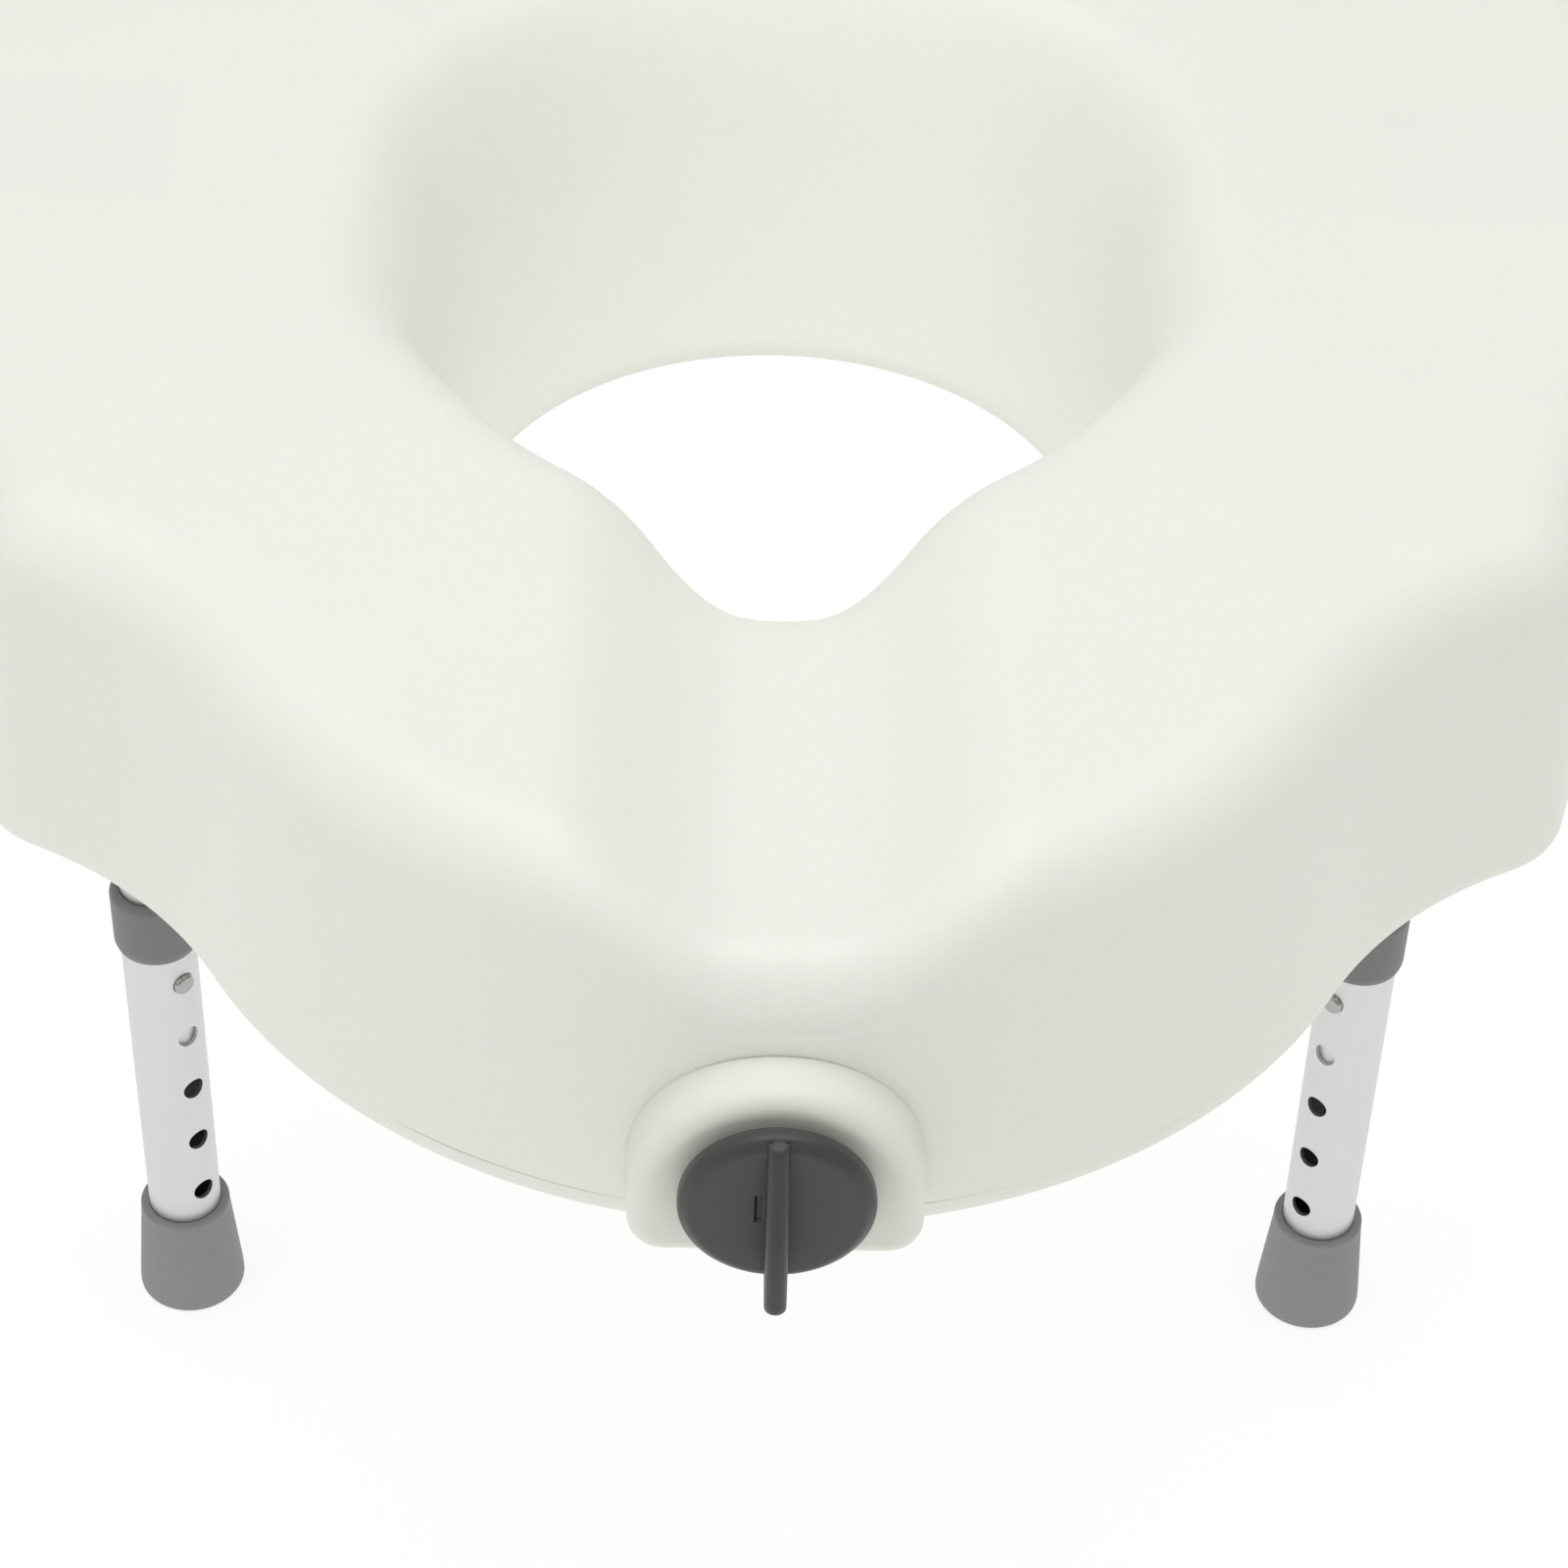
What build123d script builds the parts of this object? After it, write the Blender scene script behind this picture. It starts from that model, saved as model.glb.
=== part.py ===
"""Raised toilet seat with a front bowl lock and two height-adjustable legs.

Millimetres. +Z is up, -Y is the front, and left and right are as seen from the front (right is +X).
The origin is the middle of the opening on the plane of the bowl's rim, where the rubber pads rest.
"""
from build123d import *
import math
import os

os.makedirs("parts", exist_ok=True)

# ---------------------------------------------------------------- driving dimensions
shell_height = 102.0        # skirt bottom to deck
skirt_drop = 12.0           # skirt bottom below the bowl rim
shell_wall = 4.0
draft = 2.5                 # degrees, skirt leans in towards the deck
deck_round = 24.0           # rounding between deck and skirt

lobe_radius = 168.0         # plan radius of the front lobe
front_reach = 265.0         # origin to the front of the skirt
lobe_half_angle = 60.0
waist_radius = 125.0
waist_turn = 34.0
wing_corner_radius = 32.0
wing_corner_turn = 46.0
side_run = 80.0
flank_radius = 480.0
flank_run = 30.0
rear_corner_radius = 92.0

channel_depth = 24.0        # trough from the front edge to the opening
channel_floor_half = 22.0
channel_top_half = 50.0

throat_front = 113.0        # origin to the front end of the opening's wall
nose_radius = 45.0
nose_turn = 45.0
neck_radius = 100.0
neck_turn = 7.0
neck_run = 17.0
shoulder_radius = 128.0
shoulder_turn = 34.0
throat_taper = 0.89         # bottom of the opening's wall as a share of its top
throat_back_run = 40.0      # straight side that carries the top of the opening's wall back
throat_back_run_low = 1.0   # the same at the bottom, so the rear wall slopes
throat_lip = 22.0           # rounding between deck and opening

leg_x = 204.0
leg_y = 60.0
rim_height = 397.0          # floor to the bowl rim with the legs at full length
hole_pitch = 25.4
hole_count = 5
hole_radius = 4.05
low_hole_height = 55.6      # floor to the lowest hole
hole_turn = 44.0            # degrees, hole row turned inwards from the front

leg_outer = 25.4            # outside diameter of the leg tube
leg_wall = 1.5
tube_slide = 0.1            # radial clearance between the two tubes
upper_wall = 1.3
upper_past_button = 30.0    # upper tube below its button
leg_past_button = 33.0      # leg tube above its top hole

foot_height = 42.0
foot_base_wall = 6.3        # foot's radius past the leg tube, at the floor
foot_top_wall = 2.9         # the same at the foot's top
foot_sole = 6.0             # rubber under the end of the leg tube

collar_wall = 1.9
collar_height = 25.0
collar_skirt = 20.5         # part of the collar that sleeves the leg tube

pad_half = 36.0
pad_top = 56.0              # pad top above the skirt bottom
pad_lift = 1.0              # pad bottom above the skirt bottom
pad_proud = 12.0            # pad face ahead of the skirt
knob_radius = 23.8
knob_thick = 6.0
knob_gap = 4.0              # pad face to knob disc
knob_height = 28.0          # screw axis above the skirt bottom
wing_reach = 15.0
wing_thick = 5.0

screw_radius = 5.0
jaw_travel = 24.0
jaw_back = 84.0             # skirt front to the jaw's rear face at rest
jaw_width = 34.0
jaw_thick = 9.0
jaw_drop = 50.0             # jaw below the screw axis

running = 0.06              # radial clearance of turning and sliding fits
slip = 0.3                  # clearance of soft or flat faces that pass each other

# ---------------------------------------------------------------- derived planes
shell_bottom = -skirt_drop
deck_z = shell_bottom + shell_height
ceiling_z = deck_z - shell_wall
floor_z = -rim_height
lobe_centre_y = lobe_radius - front_reach
rib_bottom = 4.0            # ribs stop here, the rubber pads fill down to the rim
button_height = low_hole_height + (hole_count - 1) * hole_pitch
button_z = floor_z + button_height
leg_top_z = button_z + leg_past_button
upper_bottom_z = button_z - upper_past_button
knob_axis_z = shell_bottom + knob_height
upper_outer = leg_outer - 2 * leg_wall - 2 * tube_slide    # outside diameter of the upper tube
foot_base_radius = leg_outer / 2 + foot_base_wall
foot_top_radius = leg_outer / 2 + foot_top_wall
collar_radius = leg_outer / 2 + collar_wall


# ---------------------------------------------------------------- outlines
def seat_outline(inset):
    """Closed plan outline of the skirt, drawn as tangent arcs on the right and mirrored."""
    turn = math.radians(lobe_half_angle)
    lobe_end = (lobe_radius * math.sin(turn), lobe_centre_y - lobe_radius * math.cos(turn))
    half_turn = turn / 2
    lobe_mid = (lobe_radius * math.sin(half_turn), lobe_centre_y - lobe_radius * math.cos(half_turn))
    with BuildSketch(Plane.XY.offset(shell_bottom)) as outline:
        with BuildLine() as half:
            lobe = ThreePointArc((0, -front_reach), lobe_mid, lobe_end)
            waist = JernArc(lobe @ 1, lobe % 1, waist_radius, -waist_turn)
            corner = JernArc(waist @ 1, waist % 1, wing_corner_radius, wing_corner_turn)
            side = Line(corner @ 1, corner @ 1 + side_run * (corner % 1))
            left_to_turn = 90 - (lobe_half_angle - waist_turn + wing_corner_turn)
            flank = JernArc(side @ 1, side % 1, flank_radius, left_to_turn)
            straight = Line(flank @ 1, flank @ 1 + flank_run * (flank % 1))
            rear = JernArc(straight @ 1, straight % 1, rear_corner_radius, 90)
            Line(rear @ 1, (0, (rear @ 1).Y))
            mirror(about=Plane.YZ)
        make_face()
        if inset:
            offset(amount=-inset, mode=Mode.REPLACE)
    return outline.sketch


def throat_outline(height, share, back_run=throat_back_run):
    """Keyhole plan outline at a height, scaled about the origin, as tangent arcs mirrored."""
    with BuildSketch(Plane.XY.offset(height)) as outline:
        with BuildLine():
            nose = JernArc((0, -share * throat_front), (1, 0), share * nose_radius, nose_turn)
            neck = JernArc(nose @ 1, nose % 1, share * neck_radius, -neck_turn)
            run = Line(neck @ 1, neck @ 1 + share * neck_run * (neck % 1))
            shoulder = JernArc(run @ 1, run % 1, share * shoulder_radius, shoulder_turn)
            left_to_turn = 180 - (nose_turn - neck_turn + shoulder_turn)
            back_radius = (shoulder @ 1).X / math.sin(math.radians(left_to_turn))
            widest = JernArc(shoulder @ 1, shoulder % 1, back_radius, left_to_turn - 90)
            side = Line(widest @ 1, widest @ 1 + share * back_run * (widest % 1))
            JernArc(side @ 1, side % 1, back_radius, 90)
            mirror(about=Plane.YZ)
        make_face()
    return outline.sketch


def throat_share(outset):
    """Scale that moves the outline out by about this much."""
    return 1 + outset / throat_front


lip_foot_z = deck_z - throat_lip
lip_steps = [math.radians(a) for a in (0, 30, 60, 90)]


# ---------------------------------------------------------------- seat shell
with BuildPart() as outer_block:
    add(seat_outline(0))
    extrude(amount=shell_height, taper=draft)
    fillet(outer_block.faces().sort_by(Axis.Z)[-1].edges(), deck_round)

with BuildPart() as channel:
    with BuildSketch(Plane.XZ.offset(30)):
        with BuildLine():
            Polyline(
                (-channel_top_half, deck_z + 10), (-channel_top_half, deck_z),
                (-channel_floor_half, deck_z - channel_depth), (channel_floor_half, deck_z - channel_depth),
                (channel_top_half, deck_z), (channel_top_half, deck_z + 10), close=True)
        make_face()
    extrude(amount=front_reach)
    low_edges = channel.edges().filter_by(Axis.Y).group_by(Axis.Z)[0]
    fillet(low_edges, 20)

with BuildPart() as channel_relief:
    add(channel.part)
    add(channel.part.moved(Location((0, 0, -shell_wall))))
    add(channel.part.moved(Location((shell_wall, 0, -shell_wall / 2))))
    add(channel.part.moved(Location((-shell_wall, 0, -shell_wall / 2))))

with BuildPart() as cavity:
    add(seat_outline(shell_wall))
    extrude(amount=shell_height - shell_wall, taper=draft)
    fillet(cavity.faces().sort_by(Axis.Z)[-1].edges(), deck_round - shell_wall)
    add(channel_relief.part, mode=Mode.SUBTRACT)

with BuildPart() as throat_sleeve:
    add(throat_outline(shell_bottom, throat_taper + shell_wall / throat_front, throat_back_run_low))
    add(throat_outline(lip_foot_z - shell_wall, throat_share(shell_wall)))
    loft(ruled=True)
    for low, high in zip(lip_steps[:-1], lip_steps[1:]):
        for step in (low, high):
            rise = throat_lip * math.sin(step) - shell_wall
            outset = throat_lip * (1 - math.cos(step)) + shell_wall
            add(throat_outline(lip_foot_z + rise, throat_share(outset)))
        loft(ruled=True)

with BuildPart() as throat_cut:
    add(throat_outline(shell_bottom - 1, throat_taper, throat_back_run_low))
    add(throat_outline(lip_foot_z, 1))
    loft(ruled=True)
    for low, high in zip(lip_steps[:-1], lip_steps[1:]):
        for step in (low, high):
            rise = throat_lip * math.sin(step)
            outset = throat_lip * (1 - math.cos(step))
            add(throat_outline(lip_foot_z + rise, throat_share(outset)))
        loft(ruled=True)
    add(throat_outline(deck_z, throat_share(throat_lip)))
    extrude(amount=2)

# ribs: two along the jaw, and four across the sleeve at the wings and the rear corners
rib_thick = 5.0
rib_far = 340.0
jaw_slot_half = jaw_width / 2 + slip
rib_angles = (-15, 50, 130, 195)
with BuildPart() as ribs:
    for side in (-1, 1):
        with Locations((side * (jaw_slot_half + rib_thick / 2), -front_reach / 2, rib_bottom)):
            Box(rib_thick, front_reach, shell_height, align=(Align.CENTER, Align.CENTER, Align.MIN))
    for angle in rib_angles:
        with Locations(Location((0, 0, rib_bottom), (0, 0, angle))):
            Box(rib_far, rib_thick, shell_height, align=(Align.MIN, Align.CENTER, Align.MIN))
    add(cavity.part, mode=Mode.INTERSECT)

# thick lands under the deck take the screws of the leg sockets
land_side = 62.0
land_depth = 6.0
land_bottom = ceiling_z - land_depth
socket_screw_pitch = 44.0
socket_screw_radius = 2.0
socket_screw_bite = 7.0     # screw depth into land and deck

# lock pad screws, from inside the skirt
pad_screw_past_rib = 5.7
pad_screw_x = jaw_slot_half + rib_thick + pad_screw_past_rib
pad_screw_radius = 2.0
pad_screw_head_radius = 4.0
pad_screw_head = 2.6
pad_screw_bite = 8.0
pad_screw_z = shell_bottom + 34.0
skirt_face_y = -front_reach + knob_height * math.tan(math.radians(draft))
skirt_inner_y = skirt_face_y + shell_wall

with BuildPart() as seat_shell:
    add(outer_block.part)
    add(cavity.part, mode=Mode.SUBTRACT)
    add(ribs.part)
    add(throat_sleeve.part)
    for side in (-1, 1):
        with Locations((side * leg_x, leg_y, land_bottom)):
            Box(land_side, land_side, land_depth + 1, align=(Align.CENTER, Align.CENTER, Align.MIN))
    add(channel.part, mode=Mode.SUBTRACT)
    add(throat_cut.part, mode=Mode.SUBTRACT)
    for side in (-1, 1):
        with Locations((side * leg_x, leg_y, land_bottom)):
            with GridLocations(socket_screw_pitch, socket_screw_pitch, 2, 2):
                Cylinder(
                    socket_screw_radius + running, socket_screw_bite + slip,
                    align=(Align.CENTER, Align.CENTER, Align.MIN), mode=Mode.SUBTRACT)
    with Locations(Location((0, -front_reach, knob_axis_z), (90, 0, 0))):
        Cylinder(screw_radius + 2 * slip, 4 * shell_wall, mode=Mode.SUBTRACT)
    for side in (-1, 1):
        with Locations(Location((side * pad_screw_x, -front_reach, pad_screw_z), (90, 0, 0))):
            Cylinder(pad_screw_radius + slip, 6 * shell_wall, mode=Mode.SUBTRACT)
seat_shell.part.label = "seat_shell"
export_step(seat_shell.part, "parts/seat_shell.step")

# ---------------------------------------------------------------- rubber pads on the bowl rim
rim_pad_length = 44.0
rim_pad_width = 14.0
rim_pad_circle = 150.0
front_pad_y = -232.0
with BuildPart() as rim_pads:
    for angle in rib_angles:
        with Locations(Location((0, 0, 0), (0, 0, angle))):
            with Locations((rim_pad_circle, 0, rib_bottom / 2)):
                Box(rim_pad_length, rim_pad_width, rib_bottom)
    for side in (-1, 1):
        with Locations((side * (jaw_slot_half + rim_pad_width / 2), front_pad_y, rib_bottom / 2)):
            Box(rim_pad_width - 2 * slip, rim_pad_length, rib_bottom)
    fillet(rim_pads.edges().filter_by(Axis.Z), 3)
rim_pads.part.label = "rim_pads"
export_step(rim_pads.part, "parts/rim_pads.step")

# ---------------------------------------------------------------- lock pad on the front of the skirt
pad_face_y = -front_reach - pad_proud
pad_bottom_z = shell_bottom + pad_lift
pad_arch_z = shell_bottom + pad_top - pad_half
pad_reach = 12.0            # pad stock behind the front of the skirt, cut to its curve
pad_corner = 9.0
pad_edge = 6.0
pad_screw_deep = 3.5        # pad face to the end of its screw holes
with BuildPart() as lock_pad:
    with BuildSketch(Plane.XZ.offset(front_reach - pad_reach)):
        with BuildLine():
            FilletPolyline(
                (pad_half, pad_arch_z), (pad_half, pad_bottom_z),
                (-pad_half, pad_bottom_z), (-pad_half, pad_arch_z), radius=pad_corner)
            ThreePointArc((-pad_half, pad_arch_z), (0, pad_arch_z + pad_half), (pad_half, pad_arch_z))
        make_face()
    extrude(amount=pad_proud + pad_reach)
    fillet(lock_pad.faces().sort_by(Axis.Y)[0].edges(), pad_edge)
    add(outer_block.part, mode=Mode.SUBTRACT)
    with Locations(Location((0, pad_face_y, knob_axis_z), (90, 0, 0))):
        Cylinder(screw_radius + running, 2 * (pad_proud + pad_reach + slip), mode=Mode.SUBTRACT)
    for side in (-1, 1):
        with Locations(Location((side * pad_screw_x, pad_face_y + pad_screw_deep, pad_screw_z), (-90, 0, 0))):
            Cylinder(
                pad_screw_radius + running, pad_proud + pad_reach,
                align=(Align.CENTER, Align.CENTER, Align.MIN), mode=Mode.SUBTRACT)
lock_pad.part.label = "lock_pad"
export_step(lock_pad.part, "parts/lock_pad.step")

# two pan-head screws from inside the skirt into the pad
skirt_inner_radius = lobe_radius - shell_wall
pad_screw_lean = (pad_screw_z - shell_bottom) * math.tan(math.radians(draft))
pad_screw_far_x = pad_screw_x + pad_screw_head_radius
pad_screw_seat = lobe_centre_y - math.sqrt((skirt_inner_radius - pad_screw_lean) ** 2 - pad_screw_far_x ** 2)
with BuildPart() as pad_screws:
    for side in (-1, 1):
        with Locations(Location((side * pad_screw_x, pad_screw_seat + 2 * slip, pad_screw_z), (-90, 0, 0))):
            Cylinder(pad_screw_head_radius, pad_screw_head, align=(Align.CENTER, Align.CENTER, Align.MIN))
        with Locations(Location((side * pad_screw_x, pad_screw_seat + 2 * slip, pad_screw_z), (90, 0, 0))):
            Cylinder(
                pad_screw_radius, shell_wall + pad_screw_bite,
                align=(Align.CENTER, Align.CENTER, Align.MIN))
pad_screws.part.label = "pad_screws"
export_step(pad_screws.part, "parts/pad_screws.step")

# ---------------------------------------------------------------- knob, screw, washer and ring
washer_thick = 1.5
washer_y = pad_face_y - slip                    # washer's rear face
hub_y = washer_y - washer_thick
disc_y = pad_face_y - knob_gap                  # disc's rear face
knob_face_y = disc_y - knob_thick
hub_radius = 10.0
disc_edge = 1.6
wing_edge = 2.0
wing_high = 0.93            # heights on the wing, as shares of the knob's radius from its axis
wing_knee = -0.15
wing_tip = -0.84
wing_low = -0.92
wing_knee_reach = 0.88      # share of the wing's reach at its knee
screw_in_knob = 4.0
slot_x = -4.4
slot_size = (1.8, 9.0, 1.6)
with BuildPart() as lock_knob:
    with BuildSketch(Plane.XZ.offset(-hub_y)):
        with Locations((0, knob_axis_z)):
            Circle(hub_radius)
    extrude(amount=hub_y - disc_y)
    with BuildSketch(Plane.XZ.offset(-disc_y)):
        with Locations((0, knob_axis_z)):
            Circle(knob_radius)
    extrude(amount=knob_thick)
    fillet(lock_knob.faces().sort_by(Axis.Y)[0].edges(), disc_edge)
    with BuildSketch(Plane.YZ.offset(-wing_thick / 2)):
        with BuildLine():
            Polyline(
                (knob_face_y + 2, knob_axis_z + wing_high * knob_radius),
                (knob_face_y - 1, knob_axis_z + wing_high * knob_radius),
                (knob_face_y - wing_knee_reach * wing_reach, knob_axis_z + wing_knee * knob_radius),
                (knob_face_y - wing_reach, knob_axis_z + wing_tip * knob_radius),
                (knob_face_y + 2, knob_axis_z + wing_low * knob_radius), close=True)
        make_face()
        fillet(vertices().group_by(Axis.X)[0], wing_edge)
    extrude(amount=wing_thick)
    with Locations((slot_x, knob_face_y + slot_size[2] / 2 - 0.01, knob_axis_z - slot_size[1] / 3)):
        Box(slot_size[0], slot_size[2], slot_size[1], mode=Mode.SUBTRACT)
    with BuildSketch(Plane.XZ.offset(-hub_y - 1)):
        with Locations((0, knob_axis_z)):
            Circle(screw_radius)
    extrude(amount=hub_y - disc_y + screw_in_knob + 1, mode=Mode.SUBTRACT)
lock_knob.part.label = "lock_knob"
export_step(lock_knob.part, "parts/lock_knob.step")

ring_y = skirt_inner_y + 2 * slip
ring_thick = 1.2
ring_radius = 9.0
groove_radius = 4.2
jaw_rear_y = -front_reach + jaw_back
nut_thick = 8.0
screw_past_nut = 9.0
screw_head_y = disc_y - screw_in_knob
screw_end_y = jaw_rear_y + screw_past_nut
with BuildPart() as lock_screw:
    with BuildSketch(Plane.XZ.offset(-screw_end_y)):
        with Locations((0, knob_axis_z)):
            Circle(screw_radius)
    extrude(amount=screw_end_y - screw_head_y)
    chamfer(lock_screw.faces().sort_by(Axis.Y)[-1].edges(), 1)
    with BuildSketch(Plane.XZ.offset(-ring_y - ring_thick)):
        with Locations((0, knob_axis_z)):
            Circle(screw_radius + 1)
            Circle(groove_radius, mode=Mode.SUBTRACT)
    extrude(amount=ring_thick, mode=Mode.SUBTRACT)
lock_screw.part.label = "lock_screw"
export_step(lock_screw.part, "parts/lock_screw.step")

with BuildPart() as screw_ring:
    with BuildSketch(Plane.XZ.offset(-ring_y - ring_thick)):
        with Locations((0, knob_axis_z)):
            Circle(ring_radius)
            Circle(groove_radius, mode=Mode.SUBTRACT)
    extrude(amount=ring_thick)
screw_ring.part.label = "screw_ring"
export_step(screw_ring.part, "parts/screw_ring.step")

with BuildPart() as knob_washer:
    with BuildSketch(Plane.XZ.offset(-washer_y)):
        with Locations((0, knob_axis_z)):
            Circle(hub_radius)
            Circle(screw_radius, mode=Mode.SUBTRACT)
    extrude(amount=washer_thick)
knob_washer.part.label = "knob_washer"
export_step(knob_washer.part, "parts/knob_washer.step")

# ---------------------------------------------------------------- clamp jaw, nut and rubber face
jaw_rise = 14.0
jaw_front_y = jaw_rear_y - jaw_thick
jaw_top_z = knob_axis_z + jaw_rise
jaw_bottom_z = knob_axis_z - jaw_drop
nut_side = 17.0
jaw_corner = 4.0
jaw_rib_thick = 5.0
jaw_rib_deep = 9.0
jaw_rib_tall = 34.0
jaw_pad_thick = 3.0
jaw_pad_height = 26.0
with BuildPart() as clamp_jaw:
    with Locations((0, jaw_front_y, jaw_bottom_z)):
        Box(jaw_width, jaw_thick, jaw_top_z - jaw_bottom_z, align=(Align.CENTER, Align.MIN, Align.MIN))
    fillet(clamp_jaw.edges().filter_by(Axis.Y), jaw_corner)
    with Locations((0, jaw_rear_y, jaw_bottom_z)):
        Box(jaw_rib_thick, jaw_rib_deep, jaw_rib_tall, align=(Align.CENTER, Align.MIN, Align.MIN))
    rear_rib = clamp_jaw.edges().filter_by(Axis.X).sort_by(Axis.Y)[-2:]
    chamfer(rear_rib, jaw_rib_deep - 2)
    with Locations((0, jaw_rear_y, knob_axis_z)):
        Box(nut_side + 2 * running, 2 * (nut_thick - 1), nut_side + 2 * running, mode=Mode.SUBTRACT)
    with Locations(Location((0, jaw_rear_y, knob_axis_z), (90, 0, 0))):
        Cylinder(screw_radius + slip, 4 * jaw_thick, mode=Mode.SUBTRACT)
clamp_jaw.part.label = "clamp_jaw"
export_step(clamp_jaw.part, "parts/clamp_jaw.step")

with BuildPart() as jaw_nut:
    with Locations((0, jaw_rear_y - nut_thick + 1, knob_axis_z)):
        Box(nut_side, nut_thick, nut_side, align=(Align.CENTER, Align.MIN, Align.CENTER))
    with Locations(Location((0, jaw_rear_y, knob_axis_z), (90, 0, 0))):
        Cylinder(screw_radius + running, 4 * nut_thick, mode=Mode.SUBTRACT)
jaw_nut.part.label = "jaw_nut"
export_step(jaw_nut.part, "parts/jaw_nut.step")

with BuildPart() as jaw_pad:
    with Locations((0, jaw_front_y - jaw_pad_thick, jaw_bottom_z + 1)):
        Box(
            jaw_width - 2, jaw_pad_thick, jaw_pad_height,
            align=(Align.CENTER, Align.MIN, Align.MIN))
    fillet(jaw_pad.edges().filter_by(Axis.Y), 3)
jaw_pad.part.label = "jaw_pad"
export_step(jaw_pad.part, "parts/jaw_pad.step")

# ---------------------------------------------------------------- legs
flange_side = 58.0
flange_thick = 4.0
socket_depth = 46.0
socket_radius = 16.0
web_reach = 7.0
web_thick = 3.0
screw_head_radius = 3.8
screw_head = 2.4
flange_z = land_bottom - flange_thick
socket_end_z = flange_z - socket_depth
tube_top_z = flange_z - slip
upper_radius = upper_outer / 2
leg_radius = leg_outer / 2
tube_bolt_z = socket_end_z + 20
bolt_radius = 2.5
bolt_head_radius = 4.6
bolt_head = 4.0
bolt_nut = 5.0
foot_washer_thick = 1.6
leg_bottom_z = floor_z + foot_sole + foot_washer_thick
collar_bottom_z = leg_top_z - collar_skirt
button_radius = hole_radius - 0.15
button_proud = 1.7
button_flange = upper_radius - upper_wall - 2.0     # leg axis to the back of the button
button_tip = leg_radius + button_proud              # leg axis to the top of the button
spring_width = 8.0
spring_thick = 0.8
spring_rise = 7.0           # spring strip above the button's axis
spring_arm = 8.0            # straight part of each leg of the spring below it
spring_drop = 26.0          # bend of the spring below the button's axis
spring_bend = 4.0
spring_far = upper_radius - upper_wall - 1.4
spring_end = 2.0
spring_fillet = 3.0

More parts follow.
